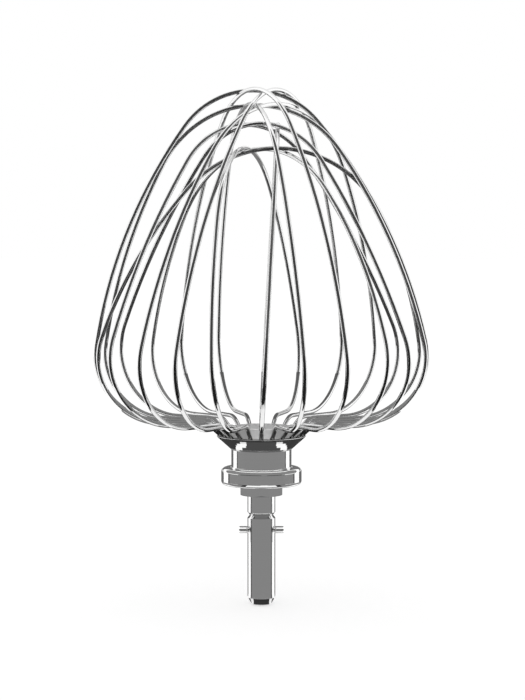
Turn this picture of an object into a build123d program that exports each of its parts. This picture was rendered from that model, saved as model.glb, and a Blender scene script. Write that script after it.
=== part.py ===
# Wire whisk for a stand mixer: a bayonet drive shaft, a turned hub with a flared cup, a fluted plug
# and twelve bent wire loops. Millimetres, origin at the shaft's end face, +Z up to the crown of the cage.
import os
from math import atan2, cos, degrees, hypot, isclose, radians, sin, sqrt, tan

from build123d import *

os.makedirs("parts", exist_ok=True)

# Drive shaft
shaft_d = 12.7
lead_length = 3.2  # taper that leads the end into the mixer's socket
lead_depth = 2.0
groove_z = 41.1  # V-groove between the cross pin and the shoulder
groove_width = 2.6
groove_depth = 1.05
shoulder_width = 19.0  # hexagon across its flats
shoulder_sides = 6
shoulder_z = 50.3
shoulder_height = 4.8
shoulder_edge_angle = 30.0  # of the turned chamfer on the hexagon's corners
tail_d = 10.0  # part of the spindle inside the hub
stud_d = 8.0  # part of the spindle inside the plug
stud_length = 7.5

# Cross pin
pin_d = 3.2
pin_length = 20.4
pin_z = 34.2
pin_edge = 0.35

# Hub
flange_d = 36.6
flange_height = 7.7
flange_round = 1.7
boss_d = 27.4
boss_height = 8.3
boss_fillet = 0.5
cup_angle = 48.0  # from the axis
cup_rim_d = 41.6  # where the cone and the rim would meet, before rounding
cup_wall = 0.6
cup_depth = 6.1
lip_share = 0.42  # rounding of the rim as a share of the wall

# Plug
plug_top_d = 27.2
plug_rise = 4.0  # top face above the cup's rim
plug_edge = 0.5
seat_gap = 1.5  # between the cup's cone and the plug's cone
plug_floor_gap = 0.3

# Wires
wire_d = 2.0
leg_count = 24
cage_r = 75.3
bend_r = 30.0  # large bend at the base of each leg
run_z = 84.1  # level at which the wires leave the hub
hub_bend_r = 8.0
wire_end_gap = 0.1  # between the wire ends and the cup's floor
crossing_gap = 0.2

# Four sizes of loop: height and radius of the crown, radius of the long sides,
# and how far the crown leans out of the loop's own upright plane
tall_crown_z = 233.7
tall_crown_r = 37.9
tall_side_r = 232.0
tall_lean = 6.4
upper_crown_z = 227.1
upper_crown_r = 48.5
upper_side_r = 250.0
upper_lean = 6.4
middle_crown_z = 218.2
middle_crown_r = 37.5
middle_side_r = 350.0
middle_lean = 7.4
low_crown_z = 207.4
low_crown_r = 55.5
low_side_r = 190.0
low_lean = 5.9
crown_count = 3  # equal loops that interlace at one height

# Fits
pin_fit = 0.01
tail_fit = 0.02
wire_fit = 0.02
flute_fit = 0.03

# Levels and radii that follow from the sizes above
shaft_r = shaft_d / 2
wire_r = wire_d / 2
flange_z = shoulder_z + shoulder_height
flange_top = flange_z + flange_height
boss_top = flange_top + boss_height
cup_slope = tan(radians(cup_angle))
cup_skew = 1 / cos(radians(cup_angle))  # horizontal distance for one across the cone's wall
rim_r = cup_rim_d / 2
rim_z = boss_top + (rim_r - boss_d / 2) / cup_slope
floor_z = rim_z - cup_depth
plug_top = rim_z + plug_rise


def seat_r(z, inset=0.0):
    """Radius at height z of a cone that lies a given distance inside the cup's inner wall."""
    return rim_r - (cup_wall + inset) * cup_skew + (z - rim_z) * cup_slope


def leg_angle(flute):
    """Direction of a flute from +X; the first one faces -Y."""
    return flute * 360 / leg_count - 90


wire_inset = wire_r + wire_fit
wire_end_z = floor_z + wire_end_gap + wire_r * sin(radians(cup_angle))
wire_end_r = seat_r(wire_end_z, wire_inset)
wire_corner_r = seat_r(run_z, wire_inset)
flute_foot = floor_z - wire_r

# Spindle: shaft, tail and stud turned from one hexagon bar, which shows at the shoulder
tail_top = floor_z
stud_top = tail_top + stud_length
shoulder_r = shoulder_width / 2
half_side = 180 / shoulder_sides  # degrees
corner_r = shoulder_r / cos(radians(half_side))
corner_drop = (corner_r - shoulder_r) * tan(radians(shoulder_edge_angle))
with BuildPart() as spindle:
    with BuildSketch(Plane.XY.offset(shoulder_z)):
        RegularPolygon(shoulder_r, shoulder_sides, major_radius=False, rotation=half_side)
    extrude(amount=shoulder_height)
    with BuildSketch(Plane.XZ):
        with BuildLine():
            Polyline(
                (0, shoulder_z),
                (shoulder_r, shoulder_z),
                (corner_r, shoulder_z + corner_drop),
                (corner_r, flange_z - corner_drop),
                (shoulder_r, flange_z),
                (0, flange_z),
                close=True,
            )
        make_face()
    revolve(axis=Axis.Z, mode=Mode.INTERSECT)
    with BuildSketch(Plane.XZ):
        with BuildLine():
            Polyline(
                (0, 0),
                (shaft_r - lead_depth, 0),
                (shaft_r, lead_length),
                (shaft_r, groove_z - groove_width / 2),
                (shaft_r - groove_depth, groove_z),
                (shaft_r, groove_z + groove_width / 2),
                (shaft_r, flange_z),
                (tail_d / 2, flange_z),
                (tail_d / 2, tail_top),
                (stud_d / 2, tail_top),
                (stud_d / 2, stud_top),
                (0, stud_top),
                close=True,
            )
        make_face()
    revolve(axis=Axis.Z)
    with BuildSketch(Plane.YZ):
        with Locations((0, pin_z)):
            Circle((pin_d + pin_fit) / 2)
    extrude(amount=shaft_d, both=True, mode=Mode.SUBTRACT)
spindle.part.label = "spindle"
export_step(spindle.part, "parts/spindle.step")

# Cross pin, pressed through the shaft along X
with BuildPart() as drive_pin:
    with BuildSketch(Plane.YZ):
        with Locations((0, pin_z)):
            Circle(pin_d / 2)
    extrude(amount=pin_length / 2, both=True)
    chamfer(drive_pin.edges().filter_by(GeomType.CIRCLE), pin_edge)
drive_pin.part.label = "drive_pin"
export_step(drive_pin.part, "parts/drive_pin.step")

# Hub: flange, boss and flared cup turned as one
hub_bore_r = (tail_d + tail_fit) / 2
with BuildPart() as hub:
    with BuildSketch(Plane.XZ):
        with BuildLine():
            Polyline(
                (hub_bore_r, flange_z),
                (flange_d / 2, flange_z),
                (flange_d / 2, flange_top),
                (boss_d / 2, flange_top),
                (boss_d / 2, boss_top),
                (rim_r, rim_z),
                (seat_r(rim_z), rim_z),
                (seat_r(floor_z), floor_z),
                (hub_bore_r, floor_z),
                close=True,
            )
        make_face()
    revolve(axis=Axis.Z)
    rings = hub.edges().filter_by(GeomType.CIRCLE)
    flange_rings = rings.filter_by(lambda ring: isclose(ring.radius, flange_d / 2))
    boss_foot = rings.filter_by(lambda ring: isclose(ring.radius, boss_d / 2)).sort_by(Axis.Z)[0]
    lip_rings = rings.group_by(Axis.Z)[-1]
    fillet(flange_rings, flange_round)
    fillet(boss_foot, boss_fillet)
    fillet(lip_rings, lip_share * cup_wall)
hub.part.label = "hub"
export_step(hub.part, "parts/hub.step")

# Plug: a cone that wedges the wire ends against the cup, with one flute for each end
plug_floor = floor_z + plug_floor_gap
with BuildPart() as wire_plug:
    with BuildSketch(Plane.XZ):
        with BuildLine():
            Polyline(
                ((stud_d + tail_fit) / 2, plug_floor),
                (seat_r(plug_floor, seat_gap), plug_floor),
                (seat_r(rim_z, seat_gap), rim_z),
                (plug_top_d / 2, plug_top),
                (0, plug_top),
                (0, stud_top + plug_floor_gap),
                ((stud_d + tail_fit) / 2, stud_top + plug_floor_gap),
                close=True,
            )
        make_face()
    revolve(axis=Axis.Z)
    fillet(wire_plug.edges().group_by(Axis.Z)[-1], plug_edge)
    with PolarLocations(0, leg_count, start_angle=leg_angle(0)):
        with Locations((seat_r(flute_foot, wire_inset), 0, flute_foot)):
            Cylinder(
                wire_r + flute_fit,
                2 * (rim_z - flute_foot) * cup_skew,
                rotation=(0, cup_angle, 0),
                align=(Align.CENTER, Align.CENTER, Align.MIN),
                mode=Mode.SUBTRACT,
            )
wire_plug.part.label = "wire_plug"
export_step(wire_plug.part, "parts/wire_plug.step")


def side_arc(crown, crown_r, bend, side_r):
    """Centre of the long side's arc, which runs on into the crown's arc and the base bend's arc."""
    span = bend - crown
    to_crown = side_r - crown_r
    to_bend = side_r - bend_r
    along = (to_crown**2 - to_bend**2 + span.length**2) / (2 * span.length)
    across = sqrt(to_crown**2 - along**2)
    unit = span.normalized()
    return crown + unit * along + Vector(unit.Y, -unit.X) * across


def angle_from(centre, point):
    """Direction from one point of the loop's plane to another, in degrees."""
    way = point - centre
    return degrees(atan2(way.Y, way.X))


# Wire loops, each bent from one length of wire and seated in two opposite flutes
loop_sizes = {
    "tall": (tall_crown_z, tall_crown_r, tall_side_r, tall_lean, 6),
    "upper": (upper_crown_z, upper_crown_r, upper_side_r, upper_lean, 5),
    "middle": (middle_crown_z, middle_crown_r, middle_side_r, middle_lean, 0),
    "low": (low_crown_z, low_crown_r, low_side_r, low_lean, 3),
}
bend_u = cage_r - bend_r
for size, (crown_z, crown_r, side_r, lean, first_flute) in loop_sizes.items():
    # Three loops of one height cross in a small triangle: each passes over one neighbour and under the other
    crown_shift = crown_r * (wire_d + crossing_gap) / (2 * lean * tan(radians(180 / crown_count)))
    crown_h = hypot(crown_z - run_z, lean)
    crown = Vector(-crown_shift, crown_h - crown_r)
    crown_seen_back = Vector(crown_shift, crown_h - crown_r)
    bend = Vector(bend_u, bend_r)
    front = side_arc(crown, crown_r, bend, side_r)
    back = side_arc(crown_seen_back, crown_r, bend, side_r)
    front_low, front_high = angle_from(front, bend), angle_from(front, crown)
    back_low, back_high = angle_from(back, bend), angle_from(back, crown_seen_back)

    for copy in range(crown_count):
        way = Vector(1, 0).rotate(Axis.Z, leg_angle(first_flute) + copy * 360 / crown_count)
        rise = Vector(0, 0, crown_z - run_z)
        out = Vector(0, 0, lean).cross(way)
        upright = Plane((0, 0, run_z), x_dir=way, z_dir=way.cross(rise))
        leaning = Plane((0, 0, run_z), x_dir=way, z_dir=way.cross(rise + out))
        with BuildLine(leaning) as arch:
            CenterArc(tuple(bend), bend_r, -90, 90 + front_low)
            CenterArc(tuple(front), side_r, front_low, front_high - front_low)
            CenterArc(tuple(crown), crown_r, front_high, 180 - back_high - front_high)
            CenterArc((-back.X, back.Y), side_r, 180 - back_high, back_high - back_low)
            CenterArc((-bend_u, bend_r), bend_r, 180 - back_low, back_low + 90)
        with BuildLine(upright) as ends:
            for side in (1, -1):
                FilletPolyline(
                    (side * wire_end_r, wire_end_z - run_z),
                    (side * wire_corner_r, 0),
                    (side * bend_u, 0),
                    radius=hub_bend_r,
                )
        path = Wire(ends.edges() + arch.edges())
        with BuildPart() as wire_loop:
            with BuildSketch(Plane(path @ 0, z_dir=path % 0)):
                Circle(wire_r)
            sweep(path=path)
        name = f"wire_{size}_{copy + 1}"
        wire_loop.part.label = name
        export_step(wire_loop.part, f"parts/{name}.step")
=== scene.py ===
import math

import bpy
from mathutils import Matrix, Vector

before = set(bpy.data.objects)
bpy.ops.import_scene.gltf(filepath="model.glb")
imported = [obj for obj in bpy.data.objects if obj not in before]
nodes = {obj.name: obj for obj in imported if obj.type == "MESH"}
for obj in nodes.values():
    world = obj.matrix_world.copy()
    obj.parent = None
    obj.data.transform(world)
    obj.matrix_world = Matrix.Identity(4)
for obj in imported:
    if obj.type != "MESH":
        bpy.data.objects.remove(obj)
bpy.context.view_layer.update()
scene = bpy.context.scene
scene.view_settings.view_transform = "Standard"
wireNames = sorted(name for name in nodes if name.startswith("wire_") and name != "wire_plug")
print("frame loaded:", len(nodes), "nodes,", len(wireNames), "wires")


# camera

shot = {
    "imageHeight": 700,           # pixels
    "metresPerPixel": 0.4536e-3,  # at the whisk's axis
    "aimHeight": 0.1163,          # of the picture's middle row
    "aimSide": 0.0005,            # the axis stands a pixel left of the middle
    "distance": 0.975,
    "elevation": 3.9,             # degrees
    "sensor": 36.0,               # mm along the picture's longer side
    "nearClip": 0.01,
}


def makeCamera(look):
    data = bpy.data.cameras.new("photoCamera")
    data.sensor_width = look["sensor"]
    data.lens = look["sensor"] * look["distance"] / (look["imageHeight"] * look["metresPerPixel"])
    data.clip_start = look["nearClip"]
    camera = bpy.data.objects.new("photoCamera", data)
    scene.collection.objects.link(camera)
    aim = Vector((look["aimSide"], 0.0, look["aimHeight"]))
    tilt = math.radians(look["elevation"])
    camera.location = aim + look["distance"] * Vector((0.0, -math.cos(tilt), math.sin(tilt)))
    camera.rotation_euler = (aim - camera.location).to_track_quat("-Z", "Y").to_euler()
    scene.camera = camera
    print("camera: lens", round(data.lens, 1), "mm")


makeCamera(shot)


# small helpers for node trees

def emptyMaterial(name):
    material = bpy.data.materials.new(name)
    material.use_nodes = True
    material.node_tree.nodes.clear()
    return material


def mathNode(tree, operation, first, second=None):
    node = tree.nodes.new("ShaderNodeMath")
    node.operation = operation
    for socket, value in zip(node.inputs, (first, second)):
        if isinstance(value, (int, float)):
            socket.default_value = value
        elif value is not None:
            tree.links.new(value, socket)
    return node.outputs[0]


def noise(tree, place, scale, detail):
    node = tree.nodes.new("ShaderNodeTexNoise")
    node.inputs["Scale"].default_value = scale
    node.inputs["Detail"].default_value = detail
    tree.links.new(place, node.inputs["Vector"])
    return node.outputs["Fac"]


def mapped(tree, value, source, target):
    node = tree.nodes.new("ShaderNodeMapRange")
    node.inputs["From Min"].default_value = source[0]
    node.inputs["From Max"].default_value = source[1]
    node.inputs["To Min"].default_value = target[0]
    node.inputs["To Max"].default_value = target[1]
    tree.links.new(value, node.inputs["Value"])
    return node.outputs[0]


# studio: white floor and white world

studio = {
    "floorSize": 12.0,
    "floorColour": 0.86,
    "floorLift": 0.42,  # camera and mirror rays: brings the lit floor up to white
    "ambient": 0.72,
}


def seenDirectly(tree):
    # 1 for camera, mirror and see-through rays, 0 for the soft light itself
    path = tree.nodes.new("ShaderNodeLightPath")
    seen = mathNode(tree, "MAXIMUM", path.outputs["Is Camera Ray"], path.outputs["Is Glossy Ray"])
    return mathNode(tree, "MAXIMUM", seen, path.outputs["Is Transmission Ray"])


def makeWorld(look):
    world = bpy.data.worlds.new("studioWorld")
    scene.world = world
    world.use_nodes = True
    tree = world.node_tree
    tree.nodes.clear()
    soft = tree.nodes.new("ShaderNodeBackground")
    soft.inputs["Strength"].default_value = look["ambient"]
    white = tree.nodes.new("ShaderNodeBackground")
    for background in (soft, white):
        background.inputs["Color"].default_value = (1.0, 1.0, 1.0, 1.0)
    mix = tree.nodes.new("ShaderNodeMixShader")
    tree.links.new(seenDirectly(tree), mix.inputs["Fac"])
    tree.links.new(soft.outputs[0], mix.inputs[1])
    tree.links.new(white.outputs[0], mix.inputs[2])
    out = tree.nodes.new("ShaderNodeOutputWorld")
    tree.links.new(mix.outputs[0], out.inputs["Surface"])


def makeFloor(look):
    half = look["floorSize"] / 2
    corners = [(-half, -half, 0), (half, -half, 0), (half, half, 0), (-half, half, 0)]
    mesh = bpy.data.meshes.new("floor")
    mesh.from_pydata(corners, [], [(0, 1, 2, 3)])
    floor = bpy.data.objects.new("floor", mesh)
    scene.collection.objects.link(floor)
    material = emptyMaterial("paleFloor")
    tree = material.node_tree
    paper = tree.nodes.new("ShaderNodeBsdfDiffuse")
    paper.inputs["Color"].default_value = (look["floorColour"],) * 3 + (1.0,)
    lift = tree.nodes.new("ShaderNodeEmission")
    strength = mathNode(tree, "MULTIPLY", seenDirectly(tree), look["floorLift"])
    tree.links.new(strength, lift.inputs["Strength"])
    both = tree.nodes.new("ShaderNodeAddShader")
    tree.links.new(paper.outputs[0], both.inputs[0])
    tree.links.new(lift.outputs[0], both.inputs[1])
    out = tree.nodes.new("ShaderNodeOutputMaterial")
    tree.links.new(both.outputs[0], out.inputs["Surface"])
    mesh.materials.append(material)


makeWorld(studio)
makeFloor(studio)
print("studio: white floor and world made")


# surround: cards that only the polished steel sees, each a profile turned round the whisk's axis

ringSteps = 180  # faces round each ring
footHeight = 0.0004
roomHeight = 0.0006
seamHeight = 0.0553
collarUnder, collarTop = 0.0715, 0.0718
shelfUnder, shelfTop = 0.1005, 0.1008
wallReach = 1.45

# degrees away from the camera's side at which a ring's front, edge and light strip end
footTurns = (50.0, 52.0, 78.0)
shaftTurns = (78.5, 89.5, 125.5)
hubTurns = (97.5, 104.5, 129.0)
seamTurns = (23.0, 31.0, 98.0)
coneFootTurns = (34.0, 35.0, 51.0)
coneLowTurns = (27.0, 28.0, 50.0)
coneMidTurns = (25.0, 26.0, 46.0)
coneTopTurns = (24.0, 25.0, 37.0)
lobeTurns = (70.0, 75.0, 130.0)
bendTurns = (10.0, 56.0, 128.0)
runTurns = (10.0, 42.0, 140.0)
wireTurns = (63.0, 69.0, 128.0)
crownTurns = (78.0, 86.0, 130.0)

# brightness of front, edge, light strip and back; None leaves that part of the ring open
steelGrey = (0.345, 0.13, 1.6, 0.19)
coneLobes = (0.1, 0.1, 1.5, 0.06)


def evenly(level):
    return (level,) * 4


# a card starts at one rim, radius and height, and each band runs on to the rim that it names
surroundCards = {
    # dark ring for the shaft's chamfer, pale floor, then the upright card round the shaft
    "footAndShaft": {
        "start": (0.0045, footHeight),
        "bands": (
            ((0.009, footHeight), footTurns, (0.05, 0.05, 1.3, 0.19)),
            ((0.02, footHeight), shaftTurns, evenly(1.3)),
            ((0.03, footHeight), shaftTurns, steelGrey),
            ((0.03, 0.0525), shaftTurns, steelGrey),
        ),
    },
    "flangeAndBoss": {
        "start": (0.13, 0.035),
        "bands": (((0.13, 0.063), hubTurns, steelGrey),),
    },
    # the bright line with dark ends in the flange's lower edge
    "seam": {
        "start": (0.0185, seamHeight),
        "bands": (((0.0225, seamHeight), seamTurns, (1.5, 0.04, 0.345, 0.19)),),
    },
    # narrow pale ring for the light line over the flange, then as the flange's card
    "collarUnder": {
        "start": (0.0146, collarUnder),
        "bands": (
            ((0.0167, collarUnder), lobeTurns, (2.2, 2.2, 0.6, 0.3)),
            ((0.095, collarUnder), hubTurns, steelGrey),
        ),
    },
    # two white lobes on the cup, dark for the wire ends, pale and dark for the bends and legs
    "collarTop": {
        "start": (0.0146, collarTop),
        "bands": (
            ((0.0158, collarTop), coneFootTurns, coneLobes),
            ((0.0167, collarTop), coneLowTurns, coneLobes),
            ((0.0176, collarTop), coneMidTurns, coneLobes),
            ((0.0185, collarTop), coneTopTurns, (0.1, 0.1, 1.2, 0.06)),
            ((0.0215, collarTop), bendTurns, evenly(0.06)),
            ((0.036, collarTop), bendTurns, evenly(0.02)),
            ((0.05, collarTop), runTurns, (0.02, 1.4, 0.32, 0.32)),
            ((0.074, collarTop), bendTurns, (1.4, 1.4, 0.32, 0.32)),
            ((0.082, collarTop), bendTurns, (1.4, 0.02, 1.6, 0.3)),
            ((0.12, collarTop), bendTurns, (0.02, 0.02, 1.6, 0.3)),
        ),
    },
    # grey over the wire runs
    "shelfUnder": {
        "start": (0.012, shelfUnder),
        "bands": (
            ((0.024, shelfUnder), runTurns, (None, None, 0.32, None)),
            ((0.068, shelfUnder), runTurns, (0.32, 0.32, 0.32, 0.16)),
            ((0.073, shelfUnder), runTurns, (None, None, None, 0.16)),
        ),
    },
    # dark below the cage
    "shelfTop": {
        "start": (0.012, shelfTop),
        "bands": (
            ((0.024, shelfTop), runTurns, (None, None, 0.06, None)),
            ((0.068, shelfTop), bendTurns, evenly(0.06)),
            ((0.073, shelfTop), runTurns, (None, None, None, 0.06)),
        ),
    },
    # floor further out, walls and ceiling
    "room": {
        "start": (0.03, roomHeight),
        "bands": (
            ((0.1, roomHeight), lobeTurns, (0.05, 0.05, 1.6, 0.1)),
            ((0.8, roomHeight), wireTurns, (0.02, 0.02, 1.6, 0.3)),
            ((wallReach, roomHeight), wireTurns, (0.02, 0.02, 1.6, 0.1)),
            ((wallReach, 0.2), wireTurns, (0.03, 0.02, 1.6, 1.2)),
            ((wallReach, 0.25), wireTurns, (0.04, 0.03, 1.6, 0.9)),
            ((wallReach, 0.45), wireTurns, (0.08, 0.05, 1.6, 0.35)),
            ((1.0, 0.86), wireTurns, (0.08, 0.05, 1.6, 1.1)),
            ((0.4, 1.4), crownTurns, (0.13, 0.1, 1.6, 1.25)),
            ((0.2, 1.45), crownTurns, (0.2, 0.2, 1.6, 1.5)),
            ((0.01, 1.5), crownTurns, evenly(1.6)),
        ),
    },
}

# one small card in front of each end of the cross pin
pinCard = {
    "reach": (0.0068, 0.0125),
    "front": -0.003,
    "bands": ((0.0285, 0.033, 1.0), (0.033, 0.0352, 0.02), (0.0352, 0.046, 1.3)),  # low, high, brightness
}


def glowMaterial(name, level):
    material = emptyMaterial(name)
    tree = material.node_tree
    glow = tree.nodes.new("ShaderNodeEmission")
    glow.inputs["Strength"].default_value = level
    out = tree.nodes.new("ShaderNodeOutputMaterial")
    tree.links.new(glow.outputs["Emission"], out.inputs["Surface"])
    return material


def addRing(shell, rims, turns, levels):
    start = len(shell["points"])
    for radius, height in rims:
        for step in range(ringSteps):
            angle = 2 * math.pi * step / ringSteps
            shell["points"].append((radius * math.sin(angle), -radius * math.cos(angle), height))
    for step in range(ringSteps):
        turn = (step + 0.5) * 360 / ringSteps
        turn = min(turn, 360 - turn)
        level = levels[sum(turn > end for end in turns)]
        if level is not None:
            here = start + step
            after = start + (step + 1) % ringSteps
            shell["faces"].append((here, after, after + ringSteps, here + ringSteps))
            shell["levels"].append(level)


def addPinCards(shell, card):
    for side in (-1, 1):
        near, far = (side * reach for reach in card["reach"])
        for low, high, level in card["bands"]:
            start = len(shell["points"])
            for x, z in ((near, low), (far, low), (far, high), (near, high)):
                shell["points"].append((x, card["front"], z))
            shell["faces"].append(tuple(range(start, start + 4)))
            shell["levels"].append(level)


def makeSurround(cards, pin):
    shell = {"points": [], "faces": [], "levels": []}
    for card in cards.values():
        near = card["start"]
        for far, turns, levels in card["bands"]:
            addRing(shell, (near, far), turns, levels)
            near = far
    addPinCards(shell, pin)
    mesh = bpy.data.meshes.new("surround")
    mesh.from_pydata(shell["points"], [], shell["faces"])
    kinds = sorted(set(shell["levels"]))
    for number, level in enumerate(kinds):
        mesh.materials.append(glowMaterial("surround" + str(number), level))
    for face, level in zip(mesh.polygons, shell["levels"]):
        face.material_index = kinds.index(level)
    surround = bpy.data.objects.new("surround", mesh)
    scene.collection.objects.link(surround)
    surround.visible_camera = False
    surround.visible_diffuse = False
    surround.visible_shadow = False
    print("surround:", len(cards), "cards in", len(kinds), "levels")


makeSurround(surroundCards, pinCard)


# steel finishes, one dictionary for each piece; the wire is drawn and has no turning marks

finishes = {
    "spindle": {"colour": 0.64, "rough": (0.05, 0.09), "ringPitch": 0.00035, "ringDepth": 0.02},
    "hub": {"colour": 0.64, "rough": (0.04, 0.08), "ringPitch": 0.0005, "ringDepth": 0.02},
    "drive_pin": {"colour": 0.68, "rough": (0.08, 0.14), "ringPitch": 0.0003, "ringDepth": 0.02},
    "wire_plug": {"colour": 0.72, "rough": (0.3, 0.42), "ringPitch": 0.0004, "ringDepth": 0.08},
    "wire": {"colour": 0.62, "rough": (0.05, 0.12), "ringPitch": 0.004, "ringDepth": 0.0},
}

# what all the steel shares
grain = {
    "noiseRange": (0.0, 1.0),
    "markDetail": 3.0,
    "markDistance": 0.0001,
    "tintSpread": 0.02,
    "patchScale": 90.0,
    "patchDetail": 4.0,
    "patchRange": (0.3, 0.7),  # of the noise, spread over the roughness
}


def turnedPlace(tree, place):
    # turning marks: the noise only knows distance from the axis and height
    split = tree.nodes.new("ShaderNodeSeparateXYZ")
    tree.links.new(place, split.inputs[0])
    x, y, z = split.outputs
    squares = mathNode(tree, "ADD", mathNode(tree, "MULTIPLY", x, x), mathNode(tree, "MULTIPLY", y, y))
    turned = tree.nodes.new("ShaderNodeCombineXYZ")
    tree.links.new(mathNode(tree, "SQRT", squares), turned.inputs[0])
    tree.links.new(z, turned.inputs[1])
    return turned.outputs[0]


def steel(name, look):
    material = bpy.data.materials.new(name + "Steel")
    material.use_nodes = True
    tree = material.node_tree
    shader = tree.nodes["Principled BSDF"]
    shader.inputs["Metallic"].default_value = 1.0
    place = tree.nodes.new("ShaderNodeTexCoord").outputs["Object"]
    isTurned = look["ringDepth"] > 0
    markPlace = turnedPlace(tree, place) if isTurned else place
    marks = noise(tree, markPlace, 1 / look["ringPitch"], grain["markDetail"])
    # handling: soft patches that vary the polish
    patches = noise(tree, place, grain["patchScale"], grain["patchDetail"])
    polish = mapped(tree, patches, grain["patchRange"], look["rough"])
    tree.links.new(polish, shader.inputs["Roughness"])
    tones = (look["colour"] - grain["tintSpread"], look["colour"] + grain["tintSpread"])
    tone = mapped(tree, marks, grain["noiseRange"], tones)
    colour = tree.nodes.new("ShaderNodeCombineColor")
    for channel in colour.inputs:
        tree.links.new(tone, channel)
    tree.links.new(colour.outputs[0], shader.inputs["Base Color"])
    if isTurned:
        bump = tree.nodes.new("ShaderNodeBump")
        bump.inputs["Strength"].default_value = look["ringDepth"]
        bump.inputs["Distance"].default_value = grain["markDistance"]
        tree.links.new(marks, bump.inputs["Height"])
        tree.links.new(bump.outputs[0], shader.inputs["Normal"])
    return material


def dress(names, material):
    for name in names:
        for slot in nodes[name].material_slots:
            slot.material = material


for piece in ("spindle", "hub", "drive_pin", "wire_plug"):
    dress([piece], steel(piece, finishes[piece]))
dress(wireNames, steel("wire", finishes["wire"]))
print("steel finishes on", len(nodes), "nodes")
